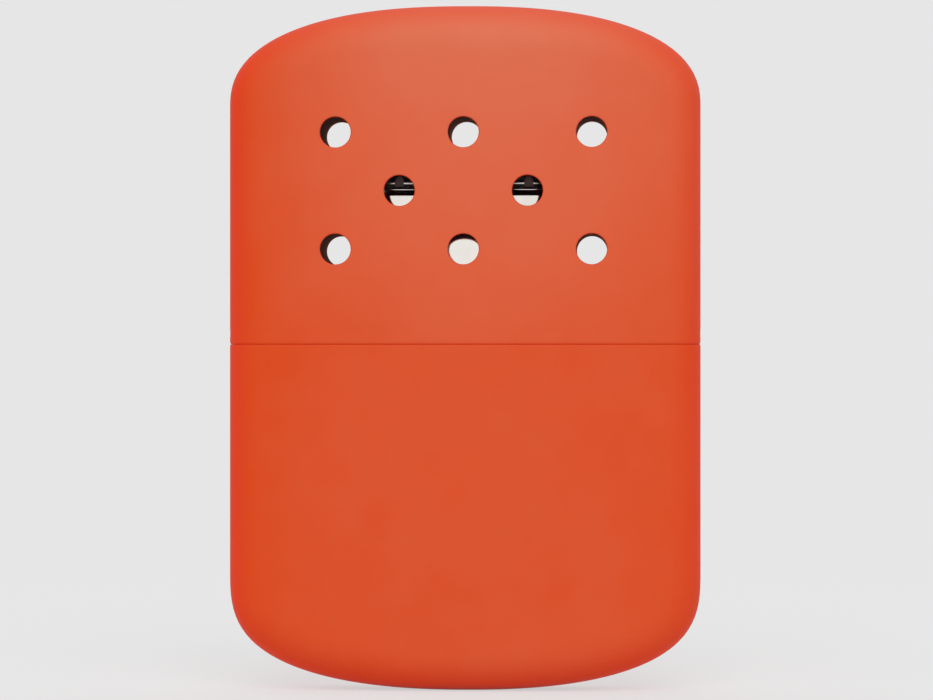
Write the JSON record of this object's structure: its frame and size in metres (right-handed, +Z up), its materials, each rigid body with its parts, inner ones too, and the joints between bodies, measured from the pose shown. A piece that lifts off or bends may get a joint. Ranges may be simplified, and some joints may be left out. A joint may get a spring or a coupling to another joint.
{
  "type": "catalytic hand warmer",
  "caption": "Flat pocket-sized catalytic hand warmer: fuel tank with cotton and wick neck, pull-off catalyst burner and a painted lift-off lid with vent holes.",
  "frame": {"origin": "under the middle of the rounded bottom of the tank, in the middle of its thickness", "axes": "+Z up, the way the lid comes off; X across the width; Y through the thickness, front face at -Y"},
  "size_m": [0.0682, 0.0136, 0.099],
  "materials": {
    "case_paint": "matte orange powder coat",
    "bright_plate": "bright nickel plate",
    "burner_steel": "satin stainless steel, heat tinted",
    "catalyst_fibre": "dark catalyst-coated glass fibre",
    "cotton": "loose cotton wool",
    "felt": "pressed wool felt"
  },
  "bodies": {
    "tank": {"tank_shell": "case_paint", "closure_cup": "bright_plate", "filler_neck": "bright_plate", "neck_felt": "felt", "cotton_wad_1": "cotton", "cotton_wad_2": "cotton", "cotton_wad_3": "cotton", "cotton_wad_4": "cotton", "cotton_wad_5": "cotton"},
    "lid": {"lid_shell": "case_paint"},
    "burner": {"burner_skirt": "bright_plate", "support_screen": "burner_steel", "catalyst_mat": "catalyst_fibre", "burner_cage": "burner_steel"}
  },
  "joints": [
    {"name": "lid_slide", "type": "slide", "parent": "tank", "child": "lid", "axis": [0, 0, 1], "range_m": [0, 0.036]},
    {"name": "burner_slide", "type": "slide", "parent": "tank", "child": "burner", "axis": [0, 0, 1], "range_m": [0, 0.008]}
  ]
}
